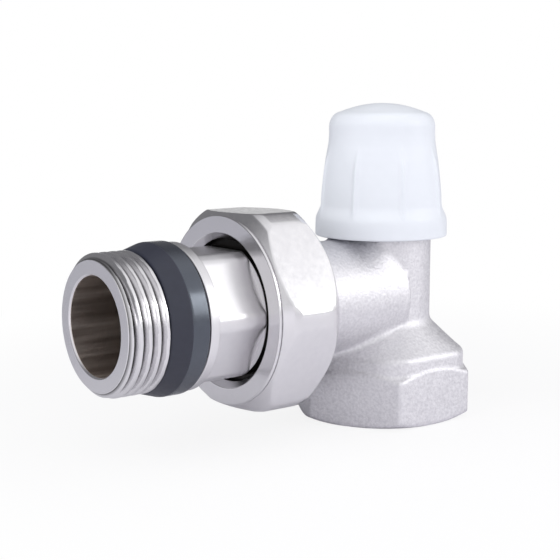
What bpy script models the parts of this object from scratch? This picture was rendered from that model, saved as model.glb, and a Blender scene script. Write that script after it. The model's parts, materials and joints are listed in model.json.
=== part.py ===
"""Angle lockshield valve for a 3/4 inch radiator connection, built as separate pieces.

Metres, +Z up. The origin is the centre of the inlet face, the spindle axis is +Z and the tail
points along -X. Every turned piece is built round its own +Z axis and then placed.
"""

from math import cos, pi, radians, sin, tan

import bmesh
import bpy

MM = 0.001

# Clearances
GAP = 0.3 * MM
THREAD_GAP = 0.3 * MM
RING_GAP = 0.2 * MM
CUT_MARGIN = 1.0 * MM

# Segments round a large and a small turned piece, the cap, the spindle and the wire of a ring
SEGMENTS = 36
SMALL_SEGMENTS = 24
CAP_SEGMENTS = 48
STEM_SEGMENTS = 20
WIRE_SEGMENTS = 6

# Threads: major and minor radius, or depth, and pitch
PORT_MAJOR, PORT_MINOR, PORT_PITCH = 13.2205 * MM, 12.0585 * MM, 1.814 * MM
UNION_DEPTH, UNION_PITCH = 1.479 * MM, 2.309 * MM
NECK_DEPTH, NECK_PITCH = 0.81 * MM, 1.5 * MM
STEM_MAJOR, STEM_MINOR, STEM_PITCH = 5.0 * MM, 4.233 * MM, 1.25 * MM

# Body: base hexagon, flare, neck and branch
TAIL_AXIS_HEIGHT = 25.92 * MM
BASE_ACROSS_FLATS = 34.0 * MM
BASE_CORNER_RADIUS = 19.35 * MM
BASE_CHAMFER_RADIUS = 17.9 * MM
BASE_CHAMFER_HEIGHT = 0.9 * MM
BASE_FLAT_HEIGHT = 11.4 * MM
BASE_CORNER_DROP = 1.7 * MM
SHELF_RADIUS = 17.6 * MM
SHELF_HEIGHT = 12.9 * MM
FLARE_RADIUS = 16.9 * MM
FLARE_HEIGHT = 14.6 * MM
FLARE_BELOW_AXIS = 4.02 * MM
NECK_WALL = 2.17 * MM
NECK_ABOVE_AXIS = 14.1 * MM
BRANCH_RADIUS = 11.55 * MM
BRANCH_END = 0.6 * MM
BRANCH_ROUNDING = 1.0 * MM
BRANCH_LENGTH = 27.0 * MM
SPIGOT_LENGTH = 9.2 * MM
SPIGOT_CHAMFER = 0.8 * MM

# Body: inside
INLET_DEPTH = 13.0 * MM
INLET_CHAMFER = 0.8 * MM
SEAT_BELOW_AXIS = 7.3 * MM
SEAT_BORE_RADIUS = 5.8 * MM
SEAT_LIP = 0.7 * MM
SEAT_RISE = 0.8 * MM
SEAT_TROUGH = 0.6 * MM
NECK_STEP = 0.21 * MM
SIDE_PORT_RADIUS = 6.9 * MM
NOSE_LENGTH = 6.8 * MM

# Bonnet, screwed into the neck
SHANK_LENGTH = 6.6 * MM
GASKET_THICKNESS = 1.0 * MM
BONNET_COLLAR_STEP = 0.27 * MM
BONNET_COLLAR_LENGTH = 0.8 * MM
BONNET_ACROSS_FLATS = 17.0 * MM
BONNET_HEX_LENGTH = 4.2 * MM
BONNET_CHAMFER = radians(30)
BARREL_WALL = 1.0 * MM
STEM_CHAMBER_DEPTH = 1.6 * MM
STEM_THREAD_DEPTH = 6.6 * MM
SMOOTH_BORE_LENGTH = 6.8 * MM
GLAND_DEPTH = 2.6 * MM

# Gland nut, its washer and the circlip
GLAND_WASHER_THICKNESS = 0.8 * MM
GLAND_WALL = 1.1 * MM
GLAND_FLANGE_STEP = 0.2 * MM
GLAND_FLANGE_THICKNESS = 1.3 * MM
CIRCLIP_CATCH = 1.3 * MM
CIRCLIP_THICKNESS = 0.7 * MM

# Spindle
OPEN_TURNS = 3
STEM_RELIEF = 0.133 * MM
STEM_THREAD_LENGTH = 6.4 * MM
STEM_STOP_GAP = 0.5 * MM
STEM_FOOT_RADIUS = 3.4 * MM
STEM_GROOVE_DEPTH = 1.0 * MM
DRIVE_ACROSS_FLATS = 5.6 * MM
DRIVE_CORNER_RADIUS = 3.7 * MM
DRIVE_LENGTH = 3.1 * MM
STEM_RING_WIRE = 0.5 * MM
STEM_RING_PITCH = 1.6 * MM

# Disc at the lower end of the spindle
DISC_CLEARANCE = 0.6 * MM
DISC_FLOOR = 2.8 * MM
DISC_SOCKET_DEPTH = 3.7 * MM
DISC_WASHER_THICKNESS = 2.5 * MM
DISC_WASHER_STEP = 0.2 * MM
SCREW_RADIUS = 1.7 * MM
SCREW_HEAD_RADIUS = 3.3 * MM
SCREW_HEAD_HEIGHT = 1.7 * MM
SCREW_SLOT_WIDTH = 0.9 * MM
SCREW_SLOT_DEPTH = 0.8 * MM
CLIP_WIRE = 0.4 * MM
CLIP_GROOVE_DEPTH = 0.6 * MM

# Cap
CAP_OVERLAP = 2.15 * MM
CAP_RIM_STEP = 0.38 * MM
CAP_SKIRT_WALL = 3.0 * MM
CAP_SKIRT_HEIGHT = 4.0 * MM
CAP_GRIP_STEP = 0.55 * MM
CAP_GRIP_HEIGHT = 6.6 * MM
CAP_BAND_STEP = 2.45 * MM
CAP_BAND_DROP = 7.7 * MM
CAP_SHOULDER_DROP = 4.2 * MM
CAP_SHOULDER_STEP = 1.2 * MM
CAP_SHOULDER_RIM_DROP = 2.6 * MM
CAP_DOME_STEP = 4.35 * MM
CAP_DOME_DROP = 1.0 * MM
CAP_POLE_RADIUS = 2.0 * MM
CAP_WALL = 1.6 * MM
CAP_CROWN = 2.0 * MM
CAP_CROWN_GAP = 0.75 * MM
FLUTES = 8
FLUTE_DEPTH = 0.55 * MM
FLUTE_TURN = radians(4.7)

# Union nut
NUT_WALL = 1.9755 * MM
NUT_LENGTH = 14.3 * MM
NUT_LIP = 2.35 * MM
NUT_LIP_CLEARANCE = 1.15 * MM
NUT_MOUTH_STEP = 0.7 * MM
NUT_MOUTH_DEPTH = 0.45 * MM
NUT_FACE_STEP = 0.47 * MM
NUT_FACE_LENGTH = 1.3 * MM
NUT_BACK_BEVEL = 0.5 * MM
NUT_CORNER_STEP = 2.15 * MM
NUT_FRONT_CHAMFER = radians(49)
NUT_BACK_CHAMFER = radians(30)
NUT_TURN = radians(-1)

# Tailpiece, with the seal ring that sits on it
COLLAR_CATCH = 0.55 * MM
COLLAR_TO_THREAD = 0.1955 * MM
COLLAR_LENGTH = 2.3 * MM
NOSE_WALL = 1.33 * MM
NOSE_RING_WIRE = 0.65 * MM
NOSE_RING_FROM_END = 3.6 * MM
TAIL_BORE_RADIUS = 9.17 * MM
TAIL_BORE_CHAMFER = 0.4 * MM
TAIL_ACROSS_FLATS = 24.0 * MM
TAIL_CORNER_STEP = 1.25 * MM
TAIL_HEX_SHOWN = 9.75 * MM
FLANGE_LENGTH = 1.95 * MM
FLANGE_STEP = 0.8 * MM
FLANGE_GROOVE = 0.25 * MM
FLANGE_GROOVE_STEP = 0.3 * MM
SEAL_SEAT_LENGTH = 7.95 * MM
SEAL_STEP = 1.12 * MM
SEAL_NOSE_STEP = 0.0795 * MM
SEAL_CONE_LENGTH = 3.75 * MM
SEAL_ROUNDING = 0.35 * MM
TAIL_THREAD_LENGTH = 7.9 * MM
TAIL_END_CHAMFER = 0.15 * MM
TAIL_FACE_BEVEL = 0.1785 * MM

# Radii worked out from the inside to the outside of the stem
CHAMBER_RADIUS = SEAT_BORE_RADIUS + SEAT_LIP + GAP + SEAT_TROUGH
DISC_RADIUS = CHAMBER_RADIUS - DISC_CLEARANCE
DISC_WASHER_RADIUS = DISC_RADIUS - DISC_WASHER_STEP
NECK_MINOR = CHAMBER_RADIUS - NECK_STEP
NECK_MAJOR = NECK_MINOR + NECK_DEPTH
NECK_RADIUS = NECK_MAJOR + THREAD_GAP + NECK_WALL
BONNET_COLLAR_RADIUS = NECK_RADIUS - BONNET_COLLAR_STEP
STEM_RADIUS = STEM_MINOR - STEM_RELIEF
STEM_GROOVE_RADIUS = STEM_RADIUS - STEM_GROOVE_DEPTH
CIRCLIP_RADIUS = STEM_RADIUS + CIRCLIP_CATCH
GLAND_BORE_RADIUS = STEM_RADIUS + GLAND_WALL + 2 * GAP
BARREL_RADIUS = GLAND_BORE_RADIUS + BARREL_WALL
GLAND_FLANGE_RADIUS = BARREL_RADIUS - GLAND_FLANGE_STEP
CAP_SKIRT_RADIUS = BONNET_COLLAR_RADIUS + GAP + CAP_SKIRT_WALL
CAP_RIM_RADIUS = CAP_SKIRT_RADIUS + CAP_RIM_STEP
CAP_GRIP_RADIUS = CAP_SKIRT_RADIUS - CAP_GRIP_STEP
CAP_BAND_RADIUS = CAP_SKIRT_RADIUS - CAP_BAND_STEP
CAP_SHOULDER_RADIUS = CAP_BAND_RADIUS - CAP_SHOULDER_STEP
CAP_DOME_RADIUS = CAP_BAND_RADIUS - CAP_DOME_STEP

# Radii worked out from the inside to the outside of the tail
NOSE_SOCKET_RADIUS = TAIL_BORE_RADIUS + NOSE_WALL + 2 * (NOSE_RING_WIRE + RING_GAP)
TAIL_CORNER_RADIUS = TAIL_ACROSS_FLATS / 2 + TAIL_CORNER_STEP
FLANGE_RADIUS = TAIL_CORNER_RADIUS + FLANGE_STEP
FLANGE_GROOVE_RADIUS = TAIL_ACROSS_FLATS / 2 + FLANGE_GROOVE_STEP
TAIL_FACE_RADIUS = PORT_MINOR - TAIL_FACE_BEVEL
SEAL_NOSE_RADIUS = PORT_MAJOR + SEAL_NOSE_STEP
SEAL_RADIUS = SEAL_NOSE_RADIUS + SEAL_STEP
NUT_LIP_BORE = TAIL_CORNER_RADIUS + NUT_LIP_CLEARANCE
NUT_MOUTH_RADIUS = NUT_LIP_BORE + NUT_MOUTH_STEP
COLLAR_RADIUS = NUT_LIP_BORE + COLLAR_CATCH
UNION_MINOR = COLLAR_RADIUS + COLLAR_TO_THREAD
UNION_MAJOR = UNION_MINOR + UNION_DEPTH
NUT_BACK_RADIUS = UNION_MAJOR + THREAD_GAP + NUT_WALL
NUT_ACROSS_FLATS = 2 * NUT_BACK_RADIUS
NUT_FACE_RADIUS = NUT_BACK_RADIUS - NUT_FACE_STEP
NUT_CORNER_RADIUS = NUT_BACK_RADIUS + NUT_CORNER_STEP

# Heights worked out along the spindle axis
FLARE_TOP = TAIL_AXIS_HEIGHT - FLARE_BELOW_AXIS
SEAT_HEIGHT = TAIL_AXIS_HEIGHT - SEAT_BELOW_AXIS
NECK_TOP = TAIL_AXIS_HEIGHT + NECK_ABOVE_AXIS
BONNET_BOTTOM = NECK_TOP - SHANK_LENGTH
BONNET_SEAT = NECK_TOP + GASKET_THICKNESS + 2 * GAP
BONNET_HEX_TOP = BONNET_SEAT + BONNET_COLLAR_LENGTH + BONNET_HEX_LENGTH
STEM_CHAMBER_TOP = BONNET_SEAT + STEM_CHAMBER_DEPTH
SMOOTH_TOP = STEM_CHAMBER_TOP + SMOOTH_BORE_LENGTH
BONNET_TOP = SMOOTH_TOP + GLAND_DEPTH
GLAND_TOP = BONNET_TOP + GAP + GLAND_FLANGE_THICKNESS
LIFT = OPEN_TURNS * STEM_PITCH
STEM_THREAD_TOP = STEM_CHAMBER_TOP - LIFT - STEM_STOP_GAP
CIRCLIP_BOTTOM = GLAND_TOP + GAP
DRIVE_BOTTOM = CIRCLIP_BOTTOM + CIRCLIP_THICKNESS + 2 * GAP
STEM_TOP = DRIVE_BOTTOM + DRIVE_LENGTH
DISC_BOTTOM = SEAT_HEIGHT + DISC_WASHER_THICKNESS + 2 * GAP
DISC_SOCKET_BOTTOM = DISC_BOTTOM + DISC_FLOOR
DISC_TOP = DISC_SOCKET_BOTTOM + DISC_SOCKET_DEPTH
CLIP_HEIGHT = DISC_SOCKET_BOTTOM + DISC_SOCKET_DEPTH / 2
CAP_BOTTOM = NECK_TOP - CAP_OVERLAP
CAP_TOP = STEM_TOP + LIFT + CAP_CROWN_GAP + CAP_CROWN

# Distances worked out along the tail axis
SPIGOT_END = BRANCH_LENGTH + SPIGOT_LENGTH
NOSE_END = SPIGOT_END - NOSE_LENGTH
COLLAR_BACK = SPIGOT_END + GAP
COLLAR_FRONT = COLLAR_BACK + COLLAR_LENGTH
NUT_LIP_BACK = COLLAR_FRONT + GAP
NUT_FRONT = NUT_LIP_BACK + NUT_LIP
NUT_BACK = NUT_FRONT - NUT_LENGTH
TAIL_HEX_END = NUT_FRONT + TAIL_HEX_SHOWN
FLANGE_END = TAIL_HEX_END + FLANGE_GROOVE + FLANGE_LENGTH
SEAL_SEAT_END = FLANGE_END + SEAL_SEAT_LENGTH
TAIL_END = SEAL_SEAT_END + TAIL_THREAD_LENGTH
NOSE_RING_AT = NOSE_END + NOSE_RING_FROM_END

# Shape of one thread turn, as shares of the pitch: base flat, flank, ridge flat, flank
TURN_SHAPE = ((0.0, False), (0.167, False), (0.5, True), (0.667, True), (1.0, False))
RUN_OUT_SHARE = 0.15


class Thread:
    """A helical ridge on a round surface. A ridge below the base radius makes a female thread."""

    def __init__(self, base, ridge, pitch, low, high, start=None):
        self.base = base
        self.ridge = ridge
        self.pitch = pitch
        self.low = low
        self.high = high
        self.start = low if start is None else start

    def mating(self, low, high):
        """The female thread that this male one screws into, in step with it."""
        first = self.start - self.pitch / 2
        while first < low:
            first += self.pitch
        while first - self.pitch >= low:
            first -= self.pitch
        return Thread(self.ridge + THREAD_GAP, self.base + THREAD_GAP, self.pitch, low, high, first)


class Turning:
    """A closed surface that grows ring by ring round the Z axis."""

    def __init__(self, segments):
        self.mesh = bmesh.new()
        self.segments = segments
        self.first = None
        self.last = None

    def vertex(self, step, axial, radius):
        angle = 2 * pi * step / self.segments
        return self.mesh.verts.new((radius * cos(angle), radius * sin(angle), axial))

    def make_ring(self, axial, radius):
        ring = []
        for step in range(self.segments):
            angle = 2 * pi * step / self.segments
            height = axial(angle) if callable(axial) else axial
            reach = radius(angle) if callable(radius) else radius
            ring.append(self.vertex(step, height, reach))
        return ring

    def skin(self, lower, upper):
        for step in range(self.segments):
            after = (step + 1) % self.segments
            self.mesh.faces.new((lower[step], lower[after], upper[after], upper[step]))

    def add_ring(self, axial, radius):
        ring = self.make_ring(axial, radius)
        if self.last is None:
            self.first = ring
        else:
            self.skin(self.last, ring)
        self.last = ring

    def add_thread(self, thread):
        """Adds the thread from the last ring, at one of its ends, to a new ring at the other."""
        going_up = abs(self.last[0].co.z - thread.low) < abs(self.last[0].co.z - thread.high)
        ring = self.make_ring(thread.high if going_up else thread.low, thread.base)
        lower, upper = (self.last, ring) if going_up else (ring, self.last)
        self.helix(thread, lower, upper)
        self.last = ring

    def helix(self, thread, lower, upper):
        count = self.segments
        steps = int(count * ((thread.high - thread.start) / thread.pitch - 1.02))
        run_out = RUN_OUT_SHARE * count
        last_point = len(TURN_SHAPE) - 1
        grid = []
        for step in range(steps + 1):
            share = min(1.0, step / run_out, (steps - step) / run_out)
            height = thread.start + thread.pitch * step / count + 0.01 * thread.pitch
            row = []
            for offset, on_ridge in TURN_SHAPE[:last_point]:
                radius = thread.base + (thread.ridge - thread.base) * share * on_ridge
                row.append(self.vertex(step, height + offset * thread.pitch, radius))
            grid.append(row)
        for step in range(steps + 1):
            if step + count <= steps:
                grid[step].append(grid[step + count][0])
            else:
                height = thread.start + thread.pitch * (step / count + 1.01)
                grid[step].append(self.vertex(step, height, thread.base))
        for step in range(steps):
            here, after = grid[step], grid[step + 1]
            for point in range(last_point):
                self.mesh.faces.new((here[point], after[point], after[point + 1], here[point + 1]))
        self.close_helix(grid, steps, lower, upper)

    def close_helix(self, grid, steps, lower, upper):
        """Fills between the ends of the helical band and the rings below and above it."""
        count = self.segments
        new_face = self.mesh.faces.new
        for step in range(count - 1):
            new_face((lower[step], lower[step + 1], grid[step + 1][0], grid[step][0]))
        corner = lower[count - 1]
        edge = [lower[0]] + grid[0][:-1] + [grid[count][0], grid[count - 1][0]]
        for before, after in zip(edge, edge[1:]):
            new_face((corner, before, after))
        for step in range(steps - count + 1, steps):
            here, after = step % count, (step + 1) % count
            new_face((grid[step][-1], grid[step + 1][-1], upper[after], upper[here]))
        corner = upper[(steps + 1) % count]
        edge = [upper[steps % count]] + grid[steps][::-1] + [grid[steps - count + 1][-1]]
        for before, after in zip(edge, edge[1:]):
            new_face((corner, before, after))

    def finish(self, bored):
        if bored:
            self.skin(self.last, self.first)
        else:
            self.mesh.faces.new(self.first)
            self.mesh.faces.new(self.last)
        bmesh.ops.recalc_face_normals(self.mesh, faces=self.mesh.faces)
        return self.mesh


def clear_scene():
    for old in list(bpy.data.objects):
        bpy.data.objects.remove(old, do_unlink=True)


def make_material(name, colour, roughness, metallic):
    material = bpy.data.materials.new(name)
    material.use_nodes = True
    shader = material.node_tree.nodes["Principled BSDF"]
    shader.inputs["Base Color"].default_value = (*colour, 1.0)
    shader.inputs["Roughness"].default_value = roughness
    shader.inputs["Metallic"].default_value = metallic
    return material


def put(name, mesh_data, material, place=None):
    """Turns a bmesh into a named object, with sharp edges kept sharp."""
    mesh = bpy.data.meshes.new(name)
    mesh_data.to_mesh(mesh)
    mesh_data.free()
    mesh.shade_smooth()
    mesh.set_sharp_from_angle(angle=radians(30))
    piece = bpy.data.objects.new(name, mesh)
    bpy.context.scene.collection.objects.link(piece)
    if material:
        mesh.materials.append(material)
    if place:
        piece.parent = place
    return piece


def turned(name, outline, material, segments=SEGMENTS, bored=True, place=None):
    """A turned piece. The outline's points are (axial, radius) or a Thread."""
    turning = Turning(segments)
    for item in outline:
        if isinstance(item, Thread):
            turning.add_thread(item)
        else:
            turning.add_ring(*item)
    return put(name, turning.finish(bored), material, place)


def wire_ring(name, centre, axial, wire, material, segments=SMALL_SEGMENTS, place=None):
    """A ring of round wire."""
    turns = [2 * pi * step / WIRE_SEGMENTS for step in range(WIRE_SEGMENTS)]
    outline = [(axial + wire * sin(turn), centre + wire * cos(turn)) for turn in turns]
    return turned(name, outline, material, segments, place=place)


def hexagon(across_flats, first_corner=0.0, turned_to=None, sides=6):
    """Radius of a regular prism as a function of the angle, turned down at its corners."""
    def radius(angle):
        from_flat = (angle - first_corner) % (2 * pi / sides) - pi / sides
        flat_sided = across_flats / 2 / cos(from_flat)
        return min(flat_sided, turned_to) if turned_to else flat_sided
    return radius


def chamfer_line(radius, face, face_radius, slope):
    """Axial place where a cone from the face's edge meets a prism's sides."""
    def axial(angle):
        return face - slope * max(0.0, radius(angle) - face_radius)
    return axial


def as_tool(piece):
    piece.hide_render = True
    piece.display_type = "WIRE"
    return piece


def combine(piece, tool, operation):
    change = piece.modifiers.new(tool.name, "BOOLEAN")
    change.operation = operation
    change.solver = "EXACT"
    change.object = as_tool(tool)


def empty_at(name, location, rotation=(0.0, 0.0, 0.0)):
    empty = bpy.data.objects.new(name, None)
    empty.location = location
    empty.rotation_euler = rotation
    bpy.context.scene.collection.objects.link(empty)
    return empty


SPIGOT_THREAD = Thread(
    UNION_MINOR, UNION_MAJOR, UNION_PITCH,
    BRANCH_LENGTH + SPIGOT_CHAMFER, SPIGOT_END - SPIGOT_CHAMFER)
SHANK_THREAD = Thread(NECK_MINOR, NECK_MAJOR, NECK_PITCH, BONNET_BOTTOM + GAP, NECK_TOP - GAP)
STEM_THREAD = Thread(
    STEM_MINOR, STEM_MAJOR, STEM_PITCH, STEM_THREAD_TOP - STEM_THREAD_LENGTH, STEM_THREAD_TOP)


def body_stem():
    """Solid base hexagon, flare and neck, before boring."""
    base = hexagon(BASE_ACROSS_FLATS, 0.0, BASE_CORNER_RADIUS)
    flat_radius = BASE_ACROSS_FLATS / 2
    top_slope = BASE_CORNER_DROP / (BASE_CORNER_RADIUS - flat_radius)
    bottom_slope = -BASE_CHAMFER_HEIGHT / (BASE_CORNER_RADIUS - BASE_CHAMFER_RADIUS)
    foot = hexagon(BASE_ACROSS_FLATS, 0.0, BASE_CHAMFER_RADIUS)
    return [
        (0.0, foot),
        (chamfer_line(base, GAP, BASE_CHAMFER_RADIUS, bottom_slope), base),
        (chamfer_line(base, BASE_FLAT_HEIGHT, flat_radius, top_slope), base),
        (SHELF_HEIGHT, hexagon(BASE_ACROSS_FLATS, 0.0, SHELF_RADIUS)),
        (FLARE_HEIGHT, FLARE_RADIUS),
        (FLARE_TOP, NECK_RADIUS),
        (NECK_TOP, NECK_RADIUS),
    ]


def branch_outline():
    return [
        (BRANCH_END, BRANCH_RADIUS - BRANCH_ROUNDING),
        (BRANCH_END + BRANCH_ROUNDING / 3, BRANCH_RADIUS - BRANCH_ROUNDING / 3),
        (BRANCH_END + BRANCH_ROUNDING, BRANCH_RADIUS),
        (BRANCH_LENGTH, BRANCH_RADIUS),
        (BRANCH_LENGTH + GAP, UNION_MINOR - SPIGOT_CHAMFER),
        (SPIGOT_THREAD.low, UNION_MINOR),
        SPIGOT_THREAD,
        (SPIGOT_END, UNION_MINOR - SPIGOT_CHAMFER),
    ]


def waterway_outline():
    """What is bored out along the spindle axis: inlet thread, seat, chamber and neck thread."""
    inlet = Thread(PORT_MAJOR, PORT_MINOR, PORT_PITCH, INLET_CHAMFER, INLET_DEPTH - GAP)
    neck = SHANK_THREAD.mating(BONNET_BOTTOM, NECK_TOP - GAP)
    return [
        (-CUT_MARGIN, PORT_MAJOR + INLET_CHAMFER + CUT_MARGIN),
        (INLET_CHAMFER, PORT_MAJOR),
        inlet,
        (INLET_DEPTH, PORT_MINOR),
        (INLET_DEPTH + SEAT_RISE, SEAT_BORE_RADIUS + SEAT_RISE),
        (INLET_DEPTH + 2 * SEAT_RISE, SEAT_BORE_RADIUS),
        (SEAT_HEIGHT, SEAT_BORE_RADIUS),
        (SEAT_HEIGHT, SEAT_BORE_RADIUS + SEAT_LIP),
        (SEAT_HEIGHT - SEAT_RISE, SEAT_BORE_RADIUS + SEAT_LIP + GAP),
        (SEAT_HEIGHT - SEAT_RISE, CHAMBER_RADIUS),
        (BONNET_BOTTOM - GAP, CHAMBER_RADIUS),
        (BONNET_BOTTOM, neck.base),
        neck,
        (NECK_TOP + CUT_MARGIN, neck.base + CUT_MARGIN),
    ]


def side_port_outline():
    return [
        (0.0, SIDE_PORT_RADIUS),
        (NOSE_END - GAP, SIDE_PORT_RADIUS),
        (NOSE_END - GAP, NOSE_SOCKET_RADIUS),
        (SPIGOT_END - GAP, NOSE_SOCKET_RADIUS),
        (SPIGOT_END + CUT_MARGIN, NOSE_SOCKET_RADIUS + CUT_MARGIN + GAP),
    ]


def make_body(brass, tail_axis):
    body = turned("valve_body", body_stem(), brass, bored=False)
    branch = turned("branch_tool", branch_outline(), None, bored=False, place=tail_axis)
    waterway = turned("waterway_tool", waterway_outline(), None, SMALL_SEGMENTS, bored=False)
    side_port = turned(
        "side_port_tool", side_port_outline(), None, SMALL_SEGMENTS, bored=False, place=tail_axis)
    combine(body, branch, "UNION")
    combine(body, waterway, "DIFFERENCE")
    combine(body, side_port, "DIFFERENCE")


def make_bonnet(brass):
    hex_radius = hexagon(BONNET_ACROSS_FLATS)
    face_radius = BONNET_ACROSS_FLATS / 2
    slope = tan(BONNET_CHAMFER)
    bore = STEM_THREAD.mating(BONNET_BOTTOM + GAP, BONNET_BOTTOM + STEM_THREAD_DEPTH)
    outline = [
        (BONNET_BOTTOM, NECK_MINOR - GAP),
        (SHANK_THREAD.low, SHANK_THREAD.base),
        SHANK_THREAD,
        (BONNET_SEAT, SHANK_THREAD.base),
        (BONNET_SEAT, BONNET_COLLAR_RADIUS),
        (BONNET_SEAT + BONNET_COLLAR_LENGTH, BONNET_COLLAR_RADIUS),
        (BONNET_SEAT + BONNET_COLLAR_LENGTH + GAP / 2, hex_radius),
        (chamfer_line(hex_radius, BONNET_HEX_TOP, face_radius, slope), hex_radius),
        (BONNET_HEX_TOP, BARREL_RADIUS),
        (BONNET_TOP - GAP, BARREL_RADIUS),
        (BONNET_TOP, BARREL_RADIUS - GAP),
        (BONNET_TOP, GLAND_BORE_RADIUS),
        (SMOOTH_TOP, GLAND_BORE_RADIUS),
        (SMOOTH_TOP, STEM_RADIUS + GAP),
        (STEM_CHAMBER_TOP, STEM_RADIUS + GAP),
        (STEM_CHAMBER_TOP, bore.base),
        (bore.high, bore.base),
        bore,
        (BONNET_BOTTOM, bore.base + GAP),
    ]
    turned("bonnet", outline, brass, SMALL_SEGMENTS)


def make_flat_ring(name, low, high, inner, outer, material, place=None, edge=GAP / 2):
    """A flat ring with a small bevel on its outer edges."""
    outline = [
        (low, inner),
        (low, outer - edge),
        (low + edge, outer),
        (high - edge, outer),
        (high, outer - edge),
        (high, inner),
    ]
    return turned(name, outline, material, SMALL_SEGMENTS, place=place)


def make_gland(brass, ptfe, rubber):
    make_flat_ring(
        "bonnet_gasket", NECK_TOP + GAP, BONNET_SEAT - GAP,
        NECK_MAJOR + GAP, BONNET_COLLAR_RADIUS, rubber)
    washer_low = SMOOTH_TOP + GAP
    washer_high = washer_low + GLAND_WASHER_THICKNESS
    bore = STEM_RADIUS + GAP
    shank = GLAND_BORE_RADIUS - GAP
    make_flat_ring("gland_washer", washer_low, washer_high, bore, shank, ptfe)
    gland = turned("gland_nut", [
        (washer_high + GAP, bore),
        (washer_high + GAP, shank),
        (BONNET_TOP + GAP, shank),
        (BONNET_TOP + GAP, GLAND_FLANGE_RADIUS),
        (GLAND_TOP - GAP, GLAND_FLANGE_RADIUS),
        (GLAND_TOP, GLAND_FLANGE_RADIUS - GAP),
        (GLAND_TOP, bore),
    ], brass, SMALL_SEGMENTS)
    slot_depth = GLAND_FLANGE_THICKNESS / 2
    slot = bmesh.new()
    bmesh.ops.create_cube(slot, size=1.0)
    slot_size = (4 * GLAND_FLANGE_RADIUS, SCREW_SLOT_WIDTH * 2, 2 * slot_depth)
    bmesh.ops.scale(slot, vec=slot_size, verts=slot.verts)
    slot_tool = put("gland_slot_tool", slot, None)
    slot_tool.location.z = GLAND_TOP
    combine(gland, slot_tool, "DIFFERENCE")


def make_spindle(brass, rubber, steel, spindle_axis):
    square = hexagon(DRIVE_ACROSS_FLATS, 0.0, DRIVE_CORNER_RADIUS, sides=4)
    ring_low = STEM_CHAMBER_TOP + STEM_RING_WIRE + RING_GAP
    ring_heights = (ring_low, ring_low + STEM_RING_PITCH)
    half_groove = STEM_RING_WIRE + RING_GAP / 2
    clip_half = CLIP_WIRE + RING_GAP
    circlip_low = CIRCLIP_BOTTOM - GAP / 2
    circlip_high = CIRCLIP_BOTTOM + CIRCLIP_THICKNESS + GAP / 2
    foot_bottom = DISC_SOCKET_BOTTOM + GAP
    outline = [
        (foot_bottom, STEM_FOOT_RADIUS - GAP),
        (foot_bottom + GAP, STEM_FOOT_RADIUS),
        (CLIP_HEIGHT - clip_half, STEM_FOOT_RADIUS),
        (CLIP_HEIGHT - clip_half, STEM_FOOT_RADIUS - CLIP_GROOVE_DEPTH),
        (CLIP_HEIGHT + clip_half, STEM_FOOT_RADIUS - CLIP_GROOVE_DEPTH),
        (CLIP_HEIGHT + clip_half, STEM_FOOT_RADIUS),
        (STEM_THREAD.low - 2 * GAP, STEM_FOOT_RADIUS),
        (STEM_THREAD.low, STEM_THREAD.base),
        STEM_THREAD,
        (STEM_THREAD.high + GAP, STEM_RADIUS),
    ]
    for height in ring_heights:
        outline += [
            (height - half_groove, STEM_RADIUS),
            (height - half_groove, STEM_GROOVE_RADIUS),
            (height + half_groove, STEM_GROOVE_RADIUS),
            (height + half_groove, STEM_RADIUS),
        ]
    outline += [
        (circlip_low, STEM_RADIUS),
        (circlip_low, STEM_GROOVE_RADIUS),
        (circlip_high, STEM_GROOVE_RADIUS),
        (circlip_high, STEM_RADIUS),
        (DRIVE_BOTTOM, STEM_RADIUS),
        (DRIVE_BOTTOM, square),
        (STEM_TOP - GAP, square),
        (STEM_TOP, DRIVE_ACROSS_FLATS / 2 - GAP),
    ]
    turned("spindle", outline, brass, STEM_SEGMENTS, bored=False, place=spindle_axis)
    centre = STEM_GROOVE_RADIUS + STEM_RING_WIRE + RING_GAP
    for name, height in zip(("lower", "upper"), ring_heights):
        wire_ring("spindle_o_ring_" + name, centre, height, STEM_RING_WIRE, rubber, place=spindle_axis)
    make_flat_ring(
        "spindle_circlip", CIRCLIP_BOTTOM, CIRCLIP_BOTTOM + CIRCLIP_THICKNESS,
        STEM_GROOVE_RADIUS + GAP / 2, CIRCLIP_RADIUS, steel, spindle_axis)


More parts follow.
